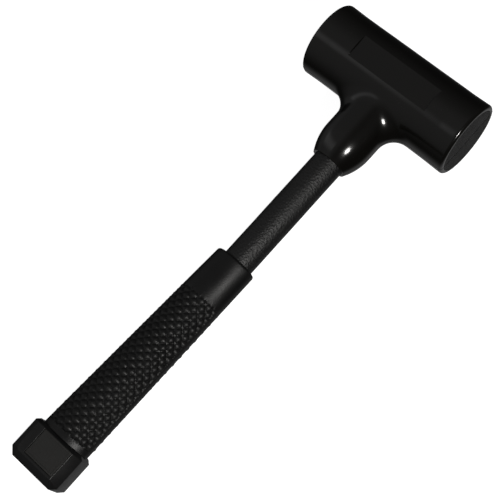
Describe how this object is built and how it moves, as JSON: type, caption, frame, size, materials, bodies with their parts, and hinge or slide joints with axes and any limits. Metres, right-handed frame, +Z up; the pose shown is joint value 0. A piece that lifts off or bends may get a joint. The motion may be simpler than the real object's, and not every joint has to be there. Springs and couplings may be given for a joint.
{
  "type": "rubber mallet",
  "caption": "No-rebound rubber mallet: a moulded rubber head on a shot-filled steel canister, with a sleeved steel shaft, a diamond-pattern grip and a squared butt block.",
  "frame": {"origin": "centre of the underside of the bounding box, on the surface that the mallet lies on, with the barrel and the butt block both touching it", "axes": "+X along the head from the left striking face to the right one, seen from the front with the head at the top; +Y up the handle towards the head; +Z up, out of the front of the tool. The handle slopes down by about 2 degrees from the head to the butt, because the barrel is thicker than the block."},
  "size_m": [0.117, 0.3602, 0.0527],
  "materials": {
    "gloss_black_rubber": "black moulded rubber with a wet gloss and faint flow marks",
    "face_rubber": "dark grey rubber with a fine dry grain",
    "shaft_rubber": "dark grey rubber tube with a fine stipple and a soft sheen",
    "grip_rubber": "black grip rubber with raised diamonds and a slight sheen",
    "butt_rubber": "black rubber with a satin sheen on its bevels",
    "badge_plastic": "plain dark plate with a fine matt texture",
    "black_plastic": "plain black moulded plastic",
    "canister_steel": "drawn steel tube and pressed cups, unplated",
    "shot_steel": "round steel shot, dull grey and lightly oiled",
    "handle_steel": "drawn seamless steel tube, bare",
    "pin_steel": "rolled spring steel, darkened"
  },
  "bodies": {
    "mallet": {"head_jacket": "gloss_black_rubber", "striking_face_left": "face_rubber", "striking_face_right": "face_rubber", "canister_tube": "canister_steel", "canister_cap_left": "canister_steel", "canister_cap_right": "canister_steel", "handle_socket": "handle_steel", "socket_pin": "pin_steel", "handle_core": "handle_steel", "core_end_plug": "black_plastic", "shaft_sleeve": "shaft_rubber", "grip_sleeve": "grip_rubber", "butt_cap": "butt_rubber", "butt_badge_front": "badge_plastic", "butt_badge_back": "badge_plastic"},
    "shot": {"steel_shot": "shot_steel"}
  },
  "joints": [
    {"name": "shot_slide", "type": "slide", "parent": "mallet", "child": "shot", "axis": [1, 0, 0], "range_m": [-0.006, 0.006]}
  ]
}
